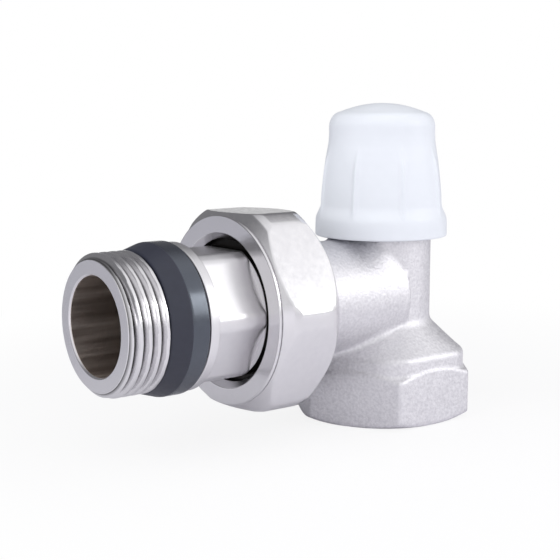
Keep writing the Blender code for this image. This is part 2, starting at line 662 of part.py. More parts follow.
def make_disc(brass, rubber, steel, spindle_axis):
    socket = STEM_FOOT_RADIUS + GAP
    screw_hole = SCREW_RADIUS + GAP
    clip_half = CLIP_WIRE + RING_GAP
    clip_groove = socket + CLIP_GROOVE_DEPTH
    turned("valve_disc", [
        (DISC_BOTTOM, screw_hole),
        (DISC_BOTTOM, DISC_RADIUS - GAP),
        (DISC_BOTTOM + GAP, DISC_RADIUS),
        (CLIP_HEIGHT - 2 * clip_half, DISC_RADIUS),
        (CLIP_HEIGHT, socket + 2 * CLIP_GROOVE_DEPTH + GAP),
        (DISC_TOP, socket + 2 * CLIP_GROOVE_DEPTH),
        (DISC_TOP, socket),
        (CLIP_HEIGHT + clip_half, socket),
        (CLIP_HEIGHT + clip_half, clip_groove),
        (CLIP_HEIGHT - clip_half, clip_groove),
        (CLIP_HEIGHT - clip_half, socket),
        (DISC_SOCKET_BOTTOM, socket),
        (DISC_SOCKET_BOTTOM, screw_hole),
    ], brass, SMALL_SEGMENTS, place=spindle_axis)
    wire_ring("disc_clip", STEM_FOOT_RADIUS + GAP / 2, CLIP_HEIGHT, CLIP_WIRE, steel, place=spindle_axis)
    washer_low = SEAT_HEIGHT + GAP
    washer_high = washer_low + DISC_WASHER_THICKNESS
    make_flat_ring(
        "disc_washer", washer_low, washer_high - GAP / 2,
        screw_hole, DISC_WASHER_RADIUS, rubber, spindle_axis)
    head_top = SEAT_HEIGHT
    screw = turned("disc_screw", [
        (head_top - SCREW_HEAD_HEIGHT, SCREW_HEAD_RADIUS - 2 * GAP),
        (head_top - SCREW_HEAD_HEIGHT + GAP, SCREW_HEAD_RADIUS),
        (head_top, SCREW_HEAD_RADIUS),
        (head_top, SCREW_RADIUS),
        (DISC_SOCKET_BOTTOM - GAP, SCREW_RADIUS),
    ], steel, SMALL_SEGMENTS, bored=False, place=spindle_axis)
    slot = bmesh.new()
    bmesh.ops.create_cube(slot, size=1.0)
    slot_size = (4 * SCREW_HEAD_RADIUS, SCREW_SLOT_WIDTH, 2 * SCREW_SLOT_DEPTH)
    bmesh.ops.scale(slot, vec=slot_size, verts=slot.verts)
    slot_tool = put("screw_slot_tool", slot, None)
    slot_tool.location.z = head_top - SCREW_HEAD_HEIGHT
    combine(screw, slot_tool, "DIFFERENCE")


def fluted(radius, depth):
    """Radius with shallow concave flutes round it."""
    def at(angle):
        wave = (angle - FLUTE_TURN) * FLUTES / 2
        return radius - depth * abs(cos(wave)) ** 0.75
    return at


def make_cap(plastic):
    skirt_top = CAP_BOTTOM + CAP_SKIRT_HEIGHT
    grip_bottom = CAP_BOTTOM + CAP_GRIP_HEIGHT
    band_bottom = CAP_TOP - CAP_BAND_DROP
    middle = (grip_bottom + band_bottom) / 2
    middle_radius = (CAP_GRIP_RADIUS + CAP_BAND_RADIUS) / 2 + GAP
    ledge = BONNET_HEX_TOP + GAP
    socket = BONNET_COLLAR_RADIUS + GAP
    crown = CAP_TOP - CAP_CROWN
    upper_bore = CAP_BAND_RADIUS - CAP_WALL - FLUTE_DEPTH
    turned("cap", [
        (crown, CAP_POLE_RADIUS),
        (crown, CAP_DOME_RADIUS),
        (crown - CAP_CROWN, upper_bore),
        (ledge, upper_bore),
        (ledge, socket),
        (skirt_top, socket),
        (skirt_top, CAP_SKIRT_RADIUS - CAP_WALL),
        (CAP_BOTTOM, CAP_RIM_RADIUS - CAP_WALL),
        (CAP_BOTTOM, CAP_RIM_RADIUS - GAP),
        (CAP_BOTTOM + GAP, CAP_RIM_RADIUS),
        (skirt_top, CAP_SKIRT_RADIUS),
        (grip_bottom, fluted(CAP_GRIP_RADIUS, FLUTE_DEPTH / 2)),
        (middle, fluted(middle_radius, FLUTE_DEPTH)),
        (band_bottom - CAP_CROWN, fluted(CAP_BAND_RADIUS + 2 * GAP, FLUTE_DEPTH)),
        (band_bottom, CAP_BAND_RADIUS),
        (CAP_TOP - CAP_SHOULDER_DROP, CAP_BAND_RADIUS),
        (CAP_TOP - CAP_SHOULDER_RIM_DROP, CAP_SHOULDER_RADIUS),
        (CAP_TOP - CAP_DOME_DROP, CAP_DOME_RADIUS),
        (CAP_TOP, CAP_POLE_RADIUS),
    ], plastic, CAP_SEGMENTS, bored=False)


def make_union_nut(brass, tail_axis):
    first_corner = pi / 2 - NUT_TURN
    hex_radius = hexagon(NUT_ACROSS_FLATS, first_corner, NUT_CORNER_RADIUS)
    front_slope = tan(NUT_FRONT_CHAMFER)
    back_slope = -tan(NUT_BACK_CHAMFER)
    thread = SPIGOT_THREAD.mating(NUT_BACK + 2 * GAP, NUT_LIP_BACK - UNION_PITCH)
    front = NUT_FRONT - NUT_FACE_LENGTH
    turned("union_nut", [
        (NUT_BACK, thread.base + 2 * GAP),
        (NUT_BACK, NUT_BACK_RADIUS - NUT_BACK_BEVEL),
        (NUT_BACK + NUT_BACK_BEVEL, NUT_BACK_RADIUS),
        (chamfer_line(hex_radius, NUT_BACK + NUT_BACK_BEVEL, NUT_BACK_RADIUS, back_slope), hex_radius),
        (chamfer_line(hex_radius, front, NUT_FACE_RADIUS, front_slope), hex_radius),
        (front, NUT_FACE_RADIUS),
        (NUT_FRONT - GAP, NUT_FACE_RADIUS),
        (NUT_FRONT, NUT_FACE_RADIUS - GAP),
        (NUT_FRONT, NUT_MOUTH_RADIUS),
        (NUT_FRONT - NUT_MOUTH_DEPTH, NUT_LIP_BORE),
        (NUT_LIP_BACK, NUT_LIP_BORE),
        (NUT_LIP_BACK, thread.base),
        (thread.high, thread.base),
        thread,
    ], brass, place=tail_axis)


def make_tailpiece(brass, rubber, seal, tail_axis):
    tail_hex = hexagon(TAIL_ACROSS_FLATS, pi / 2, TAIL_CORNER_RADIUS)
    nose_radius = NOSE_SOCKET_RADIUS - GAP
    ring_centre = NOSE_SOCKET_RADIUS - RING_GAP - NOSE_RING_WIRE
    groove_radius = ring_centre - NOSE_RING_WIRE - RING_GAP
    half_groove = NOSE_RING_WIRE + RING_GAP
    thread_start = SEAL_SEAT_END
    thread = Thread(PORT_MINOR, PORT_MAJOR, PORT_PITCH, thread_start, TAIL_END - TAIL_END_CHAMFER)
    turned("tailpiece", [
        (NOSE_END, TAIL_BORE_RADIUS),
        (NOSE_END, nose_radius - GAP),
        (NOSE_END + GAP, nose_radius),
        (NOSE_RING_AT - half_groove, nose_radius),
        (NOSE_RING_AT - half_groove, groove_radius),
        (NOSE_RING_AT + half_groove, groove_radius),
        (NOSE_RING_AT + half_groove, nose_radius),
        (COLLAR_BACK, nose_radius),
        (COLLAR_BACK, COLLAR_RADIUS),
        (COLLAR_FRONT, COLLAR_RADIUS),
        (COLLAR_FRONT, tail_hex),
        (TAIL_HEX_END, tail_hex),
        (TAIL_HEX_END, FLANGE_GROOVE_RADIUS),
        (TAIL_HEX_END + FLANGE_GROOVE, FLANGE_GROOVE_RADIUS),
        (TAIL_HEX_END + FLANGE_GROOVE, FLANGE_RADIUS),
        (FLANGE_END, FLANGE_RADIUS),
        (FLANGE_END, PORT_MINOR),
        (thread_start, PORT_MINOR),
        thread,
        (TAIL_END, TAIL_FACE_RADIUS),
        (TAIL_END, TAIL_BORE_RADIUS + TAIL_BORE_CHAMFER),
        (TAIL_END - TAIL_BORE_CHAMFER, TAIL_BORE_RADIUS),
    ], brass, place=tail_axis)
    wire_ring(
        "union_o_ring", ring_centre, NOSE_RING_AT, NOSE_RING_WIRE, rubber, SEGMENTS, tail_axis)
    seal_back = FLANGE_END + GAP
    seal_front = SEAL_SEAT_END - GAP / 2
    turned("tail_seal_ring", [
        (seal_back, PORT_MINOR + GAP),
        (seal_back, SEAL_RADIUS - SEAL_ROUNDING),
        (seal_back + SEAL_ROUNDING, SEAL_RADIUS),
        (seal_front - SEAL_CONE_LENGTH, SEAL_RADIUS),
        (seal_front - SEAL_ROUNDING, SEAL_NOSE_RADIUS + SEAL_ROUNDING / 2),
        (seal_front, SEAL_NOSE_RADIUS - SEAL_ROUNDING),
        (seal_front, PORT_MINOR + GAP),
    ], seal, place=tail_axis)


def main():
    clear_scene()
    plated = make_material("nickel_plated_brass", (0.78, 0.77, 0.78), 0.3, 1.0)
    machined = make_material("machined_brass", (0.80, 0.63, 0.32), 0.35, 1.0)
    steel = make_material("spring_steel", (0.55, 0.56, 0.58), 0.3, 1.0)
    plastic = make_material("white_plastic", (0.80, 0.84, 0.90), 0.4, 0.0)
    seal = make_material("grey_seal_rubber", (0.06, 0.065, 0.08), 0.45, 0.0)
    rubber = make_material("black_rubber", (0.02, 0.02, 0.02), 0.6, 0.0)
    ptfe = make_material("ptfe", (0.85, 0.85, 0.82), 0.5, 0.0)
    tail_axis = empty_at("tail_axis", (0.0, 0.0, TAIL_AXIS_HEIGHT), (0.0, -pi / 2, 0.0))
    spindle_axis = empty_at("spindle_axis", (0.0, 0.0, 0.0))
    make_body(plated, tail_axis)
    make_bonnet(machined)
    make_gland(machined, ptfe, rubber)
    make_spindle(machined, rubber, steel, spindle_axis)
    make_disc(machined, rubber, steel, spindle_axis)
    make_cap(plastic)
    make_union_nut(plated, tail_axis)
    make_tailpiece(plated, rubber, seal, tail_axis)


main()
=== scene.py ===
"""Looks of the angle lockshield valve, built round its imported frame.

Lengths are millimetres until a mesh is made. A turned piece is a grid of rings round the spindle axis
or the tail axis. The forged body is meshed from a field of signed distances, which gives its fillets.
"""

import json
from math import cos, pi, radians, sin, tan

import bpy
import numpy as np
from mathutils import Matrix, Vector


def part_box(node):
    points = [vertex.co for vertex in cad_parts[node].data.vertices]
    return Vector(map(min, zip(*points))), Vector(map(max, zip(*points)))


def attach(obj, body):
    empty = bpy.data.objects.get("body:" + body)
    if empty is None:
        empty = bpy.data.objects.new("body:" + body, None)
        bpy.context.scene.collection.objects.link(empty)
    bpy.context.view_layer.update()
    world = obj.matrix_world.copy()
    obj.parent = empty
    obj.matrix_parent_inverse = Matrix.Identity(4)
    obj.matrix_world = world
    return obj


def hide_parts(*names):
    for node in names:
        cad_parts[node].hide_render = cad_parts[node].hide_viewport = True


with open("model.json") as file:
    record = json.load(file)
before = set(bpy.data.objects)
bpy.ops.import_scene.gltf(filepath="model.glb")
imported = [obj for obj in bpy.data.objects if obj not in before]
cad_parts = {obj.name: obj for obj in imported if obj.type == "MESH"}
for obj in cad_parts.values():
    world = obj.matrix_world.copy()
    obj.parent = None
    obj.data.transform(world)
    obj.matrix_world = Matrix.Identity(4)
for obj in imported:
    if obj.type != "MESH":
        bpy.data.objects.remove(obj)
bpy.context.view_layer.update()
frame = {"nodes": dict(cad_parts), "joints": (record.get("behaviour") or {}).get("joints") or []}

MM = 0.001
JOINTS = {joint["name"]: joint for joint in frame["joints"]}

# Camera, as fitted to the photograph
CAMERA_AZIMUTH = radians(-37.912)
CAMERA_ELEVATION = radians(8.48)
CAMERA_PLACE = (-0.17363, -0.18820, 0.06611)
CAMERA_LENS = 77.79

# Segments round the pieces
FINE, MEDIUM = 540, 360

# How far beyond a rounded corner its support points lie
SUPPORT = 0.06

# Threads: major radius, minor radius and pitch
PORT_THREAD = (13.2205, 12.0585, 1.814)
UNION_THREAD = (16.6245, 15.1455, 2.309)
THREAD_GAP = 0.3
CREST_SHARE, ROOT_SHARE = 0.30, 0.08

# Body
BASE_FLAT = 17.0
BASE_CORNER = 19.6
BOSS_FLAT = 16.75
BOSS_CORNER = 18.05
NECK_RADIUS = 10.52
BRANCH_RADIUS = 11.55
BRANCH_END = 1.7
BRANCH_LENGTH = 27.0
NECK_TOP = 40.02
FLARE_FOOT, FLARE_TOP = (BOSS_FLAT, 14.1), (NECK_RADIUS, 20.1)
BASE_SHOULDER, BASE_TOP = 9.85, 11.4
BASE_FOOT, BASE_FOOT_HEIGHT = 16.9, 1.3
BOSS_START = 9.0

# Edges and fillets of the body
EDGE = 0.3
HEX_CORNER_ROUNDING, BOSS_CORNER_ROUNDING = 0.35, 2.2
NECK_FILLET = 0.9
BRANCH_FILLET, BRANCH_TOP_FILLET = 1.6, 2.0
FLARE_ROUNDING_HEIGHT = 4.0

# Grid from which the body is meshed
FIELD_STEP = 0.4
GRID_MARGIN = 1.0
GRID_TOP = 41.2

# Waterway
INLET_RADIUS, INLET_DEPTH = 13.3, 13.0
INLET_MOUTH, INLET_MOUTH_DEPTH = 14.1, 0.9
SEAT_RADIUS, SEAT_TOP = 5.8, 20.0
CHAMBER_RADIUS, CHAMBER_FLOOR, CHAMBER_TOP = 7.4, 17.8, 33.4
NECK_BORE_RADIUS, NECK_BORE_FLOOR = 8.3, 33.2
PORT_RADIUS = 6.9

# Spigot of the branch, inside the union nut
UNION_START = BRANCH_LENGTH + 0.8
SPIGOT_END = BRANCH_LENGTH + 9.2
SPIGOT_BORE, SPIGOT_FLOOR = 12.2, 29.1

# Union nut
NUT_FLAT, NUT_CORNER, NUT_FACE = 18.9, 20.9, 18.43
NUT_COLLAR, NUT_GROOVE = 0.8, 0.3
NUT_LIP, NUT_LIP_RADIUS, NUT_MOUTH = 2.35, 13.85, 15.1
RING_STEP = 0.11

# Tail: radii, lengths, and places measured from the spindle axis
TAIL_BORE, TAIL_NOSE = 9.17, 11.9
O_RING_SEAT, O_RING_START, O_RING_END = 10.5, 32.15, 33.85
UNION_FLANGE, UNION_FLANGE_START, UNION_FLANGE_END = 14.95, 36.5, 38.8
SHOULDER, SHOULDER_FACE = 13.1, 40.53
HEX_FLAT, HEX_CORNER = 12.0, 13.25
HEX_EDGE, HEX_EDGE_DROP, HEX_EDGE_STEPS = 0.3, 0.25, 5
PORT_THREAD_LENGTH, PORT_THREAD_END = 7.9, 11.98
SEAL_SEAT = 7.95
SEAL_FLANGE, SEAL_FLANGE_WIDTH = 14.05, 1.95

# Seal ring
SEAL_INSIDE, SEAL_OUTSIDE, SEAL_TIP = 12.36, 14.42, 13.25
SEAL_TAPER = 3.75

# Where the finish changes on the nut and the tail, and where the gap between them is painted dark as shade
NUT_GAP_END, NUT_GAP_RADIUS = 40.2, 17.5
TAIL_GAP_END = 40.4
HEX_FINISH_END = 54.0
THREAD_FINISH_START, THREAD_FINISH_RADIUS = 61.3, 12.05
BORE_FINISH_RADIUS, BORE_FINISH_DEPTH = 9.3, 0.3

# Cap
FLUTES = 8
FLUTE_DEPTH = 0.7
RIDGE_WIDTH = 0.16
CAP_RIM, CAP_CROWN = 13.85, 11.05
CAP_HOLLOW, CAP_SOCKET, CAP_SOCKET_TOP = 8.9, 10.5, 46.9
DOME_RADIUS, DOME_DROP = 8.7, 1.75

# Materials: heights of the bumps in metres, lathe lines and the shade in the roots of the tail thread
GRAIN_HEIGHT, LINE_HEIGHT = 0.0001, 0.00005
LATHE_LINES = 4500.0
ROOT_SHADE = (0.03, 0.03, 0.03, 1.0)
ROOT_SHADE_HEIGHT = 0.50

# Studio, in metres
LAMP_TARGET = (-0.02, 0, 0.03)
BRIGHT_SIDE = (0.06, -0.90, 0.42)
FLOOR_HALF = 3.0
FLOOR_DROP = 0.00002
WHITE = (1.0, 1.0, 1.0, 1.0)

TAIL_HEIGHT = JOINTS["nut_turn"]["pos_m"][2] / MM


def span(node, axis):
    """Lowest and highest place of a CAD node along an axis, in millimetres."""
    low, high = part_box(node)
    return low[axis] / MM, high[axis] / MM


def tail_span(node):
    """Nearest and farthest distance of a CAD node along the tail axis, in millimetres."""
    low, high = span(node, 0)
    return -high, -low


# Places on the two axes

def upright(axial, radius, angle):
    return np.stack((radius * np.cos(angle), radius * np.sin(angle), axial), axis=-1)


def tailward(axial, radius, angle):
    return np.stack((-axial, radius * np.sin(angle), TAIL_HEIGHT + radius * np.cos(angle)), axis=-1)


def ring_angles(count):
    return np.arange(count) * (2 * pi / count)


# Meshes

def signed_volume(points, faces):
    first, second, third = (points[faces[:, k]] for k in (0, 1, 2))
    total = np.einsum("ij,ij->i", first, np.cross(second, third)).sum()
    if faces.shape[1] == 4:
        fourth = points[faces[:, 3]]
        total += np.einsum("ij,ij->i", first, np.cross(third, fourth)).sum()
    return total / 6


def make_piece(name, points, face_sets, sharp=radians(40)):
    """A smooth-shaded object from points in millimetres, its faces turned outwards."""
    volume = sum(signed_volume(points, faces) for faces in face_sets)
    faces = []
    for group in face_sets:
        faces += (group if volume > 0 else group[:, ::-1]).tolist()
    mesh = bpy.data.meshes.new(name)
    mesh.from_pydata((points * MM).tolist(), [], faces)
    mesh.update()
    mesh.shade_smooth()
    mesh.set_sharp_from_angle(angle=sharp)
    piece = bpy.data.objects.new(name, mesh)
    bpy.context.scene.collection.objects.link(piece)
    return piece


def band_faces(lower, upper):
    """Quads between two rings of vertex numbers."""
    return np.stack((lower, np.roll(lower, -1), np.roll(upper, -1), upper), axis=-1)


def turned(name, rows, place, count, closed=True):
    """A piece from rings given as (axial, radius). A piece that isn't closed gets a pole at each end."""
    angle = ring_angles(count)
    rings = []
    for axial, radius in rows:
        full_axial = np.broadcast_to(axial, count)
        full_radius = np.broadcast_to(radius, count)
        rings.append(place(full_axial, full_radius, angle))
    points = np.concatenate(rings)
    numbers = np.arange(len(points)).reshape(len(rings), count)
    quads = [band_faces(a, b) for a, b in zip(numbers, numbers[1:])]
    if closed:
        quads.append(band_faces(numbers[-1], numbers[0]))
        return make_piece(name, points, [np.concatenate(quads)])
    poles = np.array([rings[0].mean(axis=0), rings[-1].mean(axis=0)])
    first, last = len(points), len(points) + 1
    points = np.concatenate((points, poles))
    fans = []
    for pole, ring, turn in ((first, numbers[0], 1), (last, numbers[-1], -1)):
        after = np.roll(ring, -1)
        fan = np.stack((np.full(count, pole), after, ring), axis=-1)
        fans.append(fan[:, ::turn])
    return make_piece(name, points, [np.concatenate(quads), np.concatenate(fans)])


def rounded(corners, steps=5):
    """Outline points from (axial, radius, rounding) corners, with a support point beside each curve."""
    count = len(corners)
    outline = []
    for index, (axial, radius, rounding) in enumerate(corners):
        corner = np.array((axial, radius))
        if index in (0, count - 1) or not rounding:
            outline.append(tuple(corner))
            continue
        before = np.array(corners[index - 1][:2]) - corner
        after = np.array(corners[index + 1][:2]) - corner
        reach = min(rounding, 0.45 * np.linalg.norm(before), 0.45 * np.linalg.norm(after))
        start = before / np.linalg.norm(before)
        end = after / np.linalg.norm(after)
        outline.append(tuple(corner + start * (reach + SUPPORT)))
        for step in range(steps + 1):
            share = step / steps
            point = corner + start * reach * (1 - share) ** 2 + end * reach * share ** 2
            outline.append(tuple(point))
        outline.append(tuple(corner + end * (reach + SUPPORT)))
    return outline


def soft_min(a, b, reach):
    """The smaller of two surfaces, with their meeting edge rounded over the reach."""
    blend = np.maximum(reach - np.abs(a - b), 0.0) / reach
    return np.minimum(a, b) - blend * blend * reach / 4


def soft_max(a, b, reach):
    return -soft_min(-a, -b, reach)


def prism(angle, flat, first_corner, sides=6):
    """Radius of a regular prism at each angle."""
    from_flat = (angle - first_corner) % (2 * pi / sides) - pi / sides
    return flat / np.cos(from_flat)


def thread_share(axial, angle, pitch, start):
    """How far up the thread's flank a point is: 0 in the root and 1 on the crest."""
    turn = (axial - start) / pitch - angle / (2 * pi)
    ramp = 1 - np.abs(2 * (turn % 1) - 1)
    flank = np.clip((ramp - ROOT_SHARE) / (1 - ROOT_SHARE - CREST_SHARE), 0.0, 1.0)
    return 0.75 * flank + 0.25 * flank * flank * (3 - 2 * flank)


def thread_rows(thread, low, high, count, start, steps=18, inside=False):
    """Rings of a thread between two axial places."""
    major, minor, pitch = thread
    angle = ring_angles(count)
    rows = []
    for axial in np.linspace(low, high, int((high - low) / pitch * steps) + 1):
        share = thread_share(axial, angle, pitch, start)
        if inside:
            share = 1 - share
        rows.append((axial, minor + (major - minor) * share))
    return rows


# Field of the forged body

def slope_field(radius, height, lower, upper):
    """Distance outside a cone through two (radius, height) points, the lower one first."""
    run, rise = upper[0] - lower[0], upper[1] - lower[1]
    length = (run * run + rise * rise) ** 0.5
    return ((radius - lower[0]) * rise - (height - lower[1]) * run) / length


def hexagon_field(x, y, flat, rounding):
    """Distance outside a hexagon with corners on the X axis."""
    sides = [np.abs(x * cos(turn) + y * sin(turn)) for turn in (pi / 6, pi / 2, 5 * pi / 6)]
    return soft_max(soft_max(sides[0], sides[1], rounding), sides[2], rounding) - flat


def outer_field(x, y, z):
    """Distance outside the forging, before boring."""
    radius = np.hypot(x, y)
    base = soft_max(hexagon_field(x, y, BASE_FLAT, HEX_CORNER_ROUNDING), radius - BASE_CORNER, EDGE)
    top_bevel = slope_field(radius, z, (BASE_CORNER, BASE_SHOULDER), (BASE_FLAT, BASE_TOP))
    foot_bevel = slope_field(radius, z, (BASE_FOOT, 0.0), (BASE_CORNER, BASE_FOOT_HEIGHT))
    base = soft_max(soft_max(base, top_bevel, EDGE), foot_bevel, EDGE)
    boss = hexagon_field(x, y, 0.0, BOSS_CORNER_ROUNDING)
    boss = soft_max(boss, radius - BOSS_CORNER + BOSS_FLAT, 0.8)
    rounding = np.clip((z - FLARE_FOOT[1]) / FLARE_ROUNDING_HEIGHT, 0.0, 1.0)
    spread = boss + (radius - boss) * rounding
    flare = slope_field(spread, z, FLARE_FOOT, FLARE_TOP)
    flare = soft_max(flare, boss - BOSS_FLAT, 0.6)
    flare = np.maximum(flare, BOSS_START - z)
    neck = np.maximum(radius - NECK_RADIUS, z - NECK_TOP)
    stem = soft_min(soft_min(base, flare, EDGE), neck, NECK_FILLET)
    stem = soft_max(stem, -z, EDGE)
    around = np.hypot(y, z - TAIL_HEIGHT)
    branch = soft_max(around - BRANCH_RADIUS, x + BRANCH_END, 0.7)
    branch = np.maximum(branch, -x - BRANCH_LENGTH)
    # The fillet grows along the branch and towards its top
    upper = np.clip((z - TAIL_HEIGHT) / 6.0, 0.0, 1.0)
    along = np.clip((-x - 3.0) / 5.0, 0.0, 1.0)
    return soft_min(stem, branch, EDGE + along * (BRANCH_FILLET + BRANCH_TOP_FILLET * upper))


def bore_field(x, y, z):
    """Distance outside the waterway: inlet, seat, chamber, neck and side port."""
    radius = np.hypot(x, y)
    inlet = np.maximum(radius - INLET_RADIUS, z - INLET_DEPTH)
    mouth = slope_field(radius, z, (INLET_MOUTH, 0.0), (INLET_MOUTH - 0.9, INLET_MOUTH_DEPTH))
    mouth = np.maximum(mouth, z - INLET_MOUTH_DEPTH - 0.3)
    seat = np.maximum(radius - SEAT_RADIUS, z - SEAT_TOP)
    chamber = np.maximum(radius - CHAMBER_RADIUS, CHAMBER_FLOOR - z)
    chamber = np.maximum(chamber, z - CHAMBER_TOP)
    neck = np.maximum(radius - NECK_BORE_RADIUS, NECK_BORE_FLOOR - z)
    port = np.maximum(np.hypot(y, z - TAIL_HEIGHT) - PORT_RADIUS, x)
    bore = np.minimum(np.minimum(inlet, mouth), np.minimum(seat, chamber))
    return np.minimum(np.minimum(bore, neck), port)


def forging_field(points):
    x, y, z = points[..., 0], points[..., 1], points[..., 2]
    return soft_max(outer_field(x, y, z), -bore_field(x, y, z), 0.45)


def surface_net(field, low, high, step):
    """Points and quads of the zero level of a field, one point in each cell that the surface crosses."""
    axes = [np.arange(a, b + step, step) for a, b in zip(low, high)]
    grid = np.stack(np.meshgrid(*axes, indexing="ij"), axis=-1)
    value = field(grid)
    inside = value < 0
    size = [n - 1 for n in inside.shape]

    def corner(array, offset):
        return array[tuple(slice(o, o + n) for o, n in zip(offset, size))]

    offsets = [(i, j, k) for i in (0, 1) for j in (0, 1) for k in (0, 1)]
    filled = sum(corner(inside, offset).astype(int) for offset in offsets)
    active = (filled > 0) & (filled < 8)
    number = np.full(size, -1)
    number[active] = np.arange(active.sum())
    total = np.zeros((active.sum(), 3))
    crossings = np.zeros(active.sum())
    for axis in range(3):
        for offset in offsets:
            if offset[axis]:
                continue
            far = tuple(o + (k == axis) for k, o in enumerate(offset))
            near_value = corner(value, offset)[active]
            far_value = corner(value, far)[active]
            crossed = (near_value < 0) != (far_value < 0)
            share = np.where(crossed, near_value / np.where(crossed, near_value - far_value, 1), 0)
            place = np.array(offset, float) + share[:, None] * np.eye(3)[axis]
            total += place * crossed[:, None]
            crossings += crossed
    cells = np.argwhere(active)
    points = np.array(low) + step * (cells + total / crossings[:, None])
    quads = []
    for axis in range(3):
        one, two = (axis + 1) % 3, (axis + 2) % 3
        here = [slice(1, -1)] * 3
        here[axis] = slice(0, -1)
        after = list(here)
        after[axis] = slice(1, None)
        start, stop = inside[tuple(here)], inside[tuple(after)]
        for turned_out, mask in ((True, start & ~stop), (False, ~start & stop)):
            places = np.argwhere(mask)
            places[:, one] += 1
            places[:, two] += 1
            loop = []
            for back_one, back_two in ((0, 0), (1, 0), (1, 1), (0, 1)):
                cell = places.copy()
                cell[:, one] -= back_one
                cell[:, two] -= back_two
                loop.append(number[tuple(cell.T)])
            quad = np.stack(loop, axis=-1)
            quads.append(quad if turned_out else quad[:, ::-1])
    return points, np.concatenate(quads)


def settle(points, field, rounds=4, probe=0.01):
    """Moves points onto the zero level of a field."""
    for _ in range(rounds):
        value = field(points)
        slope = np.empty_like(points)
        for axis in range(3):
            shift = np.eye(3)[axis] * probe
            slope[:, axis] = (field(points + shift) - field(points - shift)) / (2 * probe)
        steep = np.maximum((slope * slope).sum(axis=1), 0.25)
        points = points - (np.clip(value, -0.2, 0.2) / steep)[:, None] * slope
    return points


# Pieces of the body

def make_forging():
    side = BASE_CORNER + GRID_MARGIN
    low = (-BRANCH_LENGTH - GRID_MARGIN, -side, -GRID_MARGIN)
    high = (side, side, GRID_TOP)
    points, quads = surface_net(forging_field, low, high, FIELD_STEP)
    points = settle(points, forging_field)
    corners = [np.array(corner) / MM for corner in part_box("valve_body")]
    points = np.clip(points, *corners)
    return make_piece("forged_body", points, [quads], sharp=radians(60))


def make_inlet_thread():
    major, minor, _ = PORT_THREAD
    mouth, outside = 0.7, major + 0.14
    rows = [(mouth, outside), (mouth, major)]
    rows += thread_rows(PORT_THREAD, mouth + 0.05, INLET_DEPTH, MEDIUM, 0.0, steps=14, inside=True)
    rows += [(INLET_DEPTH, minor), (INLET_DEPTH, outside)]
    return turned("inlet_thread", rows, upright, MEDIUM)


def make_spigot():
    minor = UNION_THREAD[1]
    root = BRANCH_LENGTH - 0.5
    rows = rounded([
        (root, PORT_RADIUS, 0), (root, 11.4, 0), (BRANCH_LENGTH + 0.05, 11.4, 0),
        (BRANCH_LENGTH + 0.25, 14.2, 0.2), (UNION_START, minor, 0)])
    for axial, radius in thread_rows(UNION_THREAD, UNION_START, SPIGOT_END - 0.3, MEDIUM, UNION_START):
        end_cone = minor - 0.8 + (SPIGOT_END - axial) * 1.6
        start_cone = minor - 0.4 + (axial - UNION_START) * 1.6
        rows.append((axial, np.minimum(np.minimum(radius, end_cone), start_cone)))
    rows += rounded([
        (SPIGOT_END, minor - 0.8, 0), (SPIGOT_END, SPIGOT_BORE + 0.4, 0.2),
        (SPIGOT_END - 0.4, SPIGOT_BORE, 0.2), (SPIGOT_FLOOR, SPIGOT_BORE, 0.2),
        (SPIGOT_FLOOR, PORT_RADIUS, 0)])
    return turned("spigot_thread", rows, tailward, MEDIUM)


# Union nut

def nut_side(axial, sides, bevel, collar):
    """Radius of the nut's outside: the hexagon, cut by a two-angle bevel in front and one behind."""
    inner_cone = NUT_FACE + (collar - axial) / tan(radians(35))
    outer_cone = NUT_FACE + 1.26 + (collar - axial) / tan(radians(65))
    front_cone = soft_min(inner_cone, outer_cone, 0.1)
    back_cone = NUT_FLAT + (axial - bevel) / tan(radians(50))
    radius = soft_min(soft_min(sides, front_cone, 0.1), back_cone, 0.1)
    return np.maximum(radius, NUT_FACE)


def make_nut():
    back, front = tail_span("union_nut")
    collar = front - NUT_COLLAR
    bevel = back + 0.5
    sides = soft_min(prism(ring_angles(FINE), NUT_FLAT, radians(91)), NUT_CORNER, 0.3)
    dense_back = np.arange(bevel, bevel + 2.2, RING_STEP)
    middle = np.linspace(bevel + 2.2, collar - 4.0, 6)
    dense_front = np.arange(collar - 3.9, collar, RING_STEP)
    rows = rounded([
        (back, 16.9, 0), (back, NUT_FLAT - 0.5, 0.25), (bevel, NUT_FLAT, 0)])
    for axial in np.concatenate((dense_back, middle, dense_front)):
        rows.append((axial, nut_side(axial, sides, bevel, collar)))
    groove = NUT_FACE - NUT_GROOVE
    lip_back = front - NUT_LIP
    chamfer = NUT_MOUTH - NUT_LIP_RADIUS
    base = UNION_THREAD[0] + THREAD_GAP
    rows += rounded([
        (collar, NUT_FACE, 0), (collar + 0.05, groove, 0), (collar + 0.25, groove, 0),
        (collar + 0.3, NUT_FACE, 0.05), (front, NUT_FACE, 0.32), (front, NUT_MOUTH, 0.1),
        (front - chamfer, NUT_LIP_RADIUS, 0.1), (lip_back, NUT_LIP_RADIUS, 0.1), (lip_back, base, 0)])
    high = lip_back - UNION_THREAD[2]
    thread = (base, UNION_THREAD[1] + THREAD_GAP, UNION_THREAD[2])
    cut = thread_rows(thread, back + 0.6, high, FINE, UNION_START, steps=8, inside=True)
    rows += [(high + 0.4, base)] + cut[::-1] + [(back + 0.5, base)]
    return turned("union_nut_hexagon", rows, tailward, FINE)


# Tail

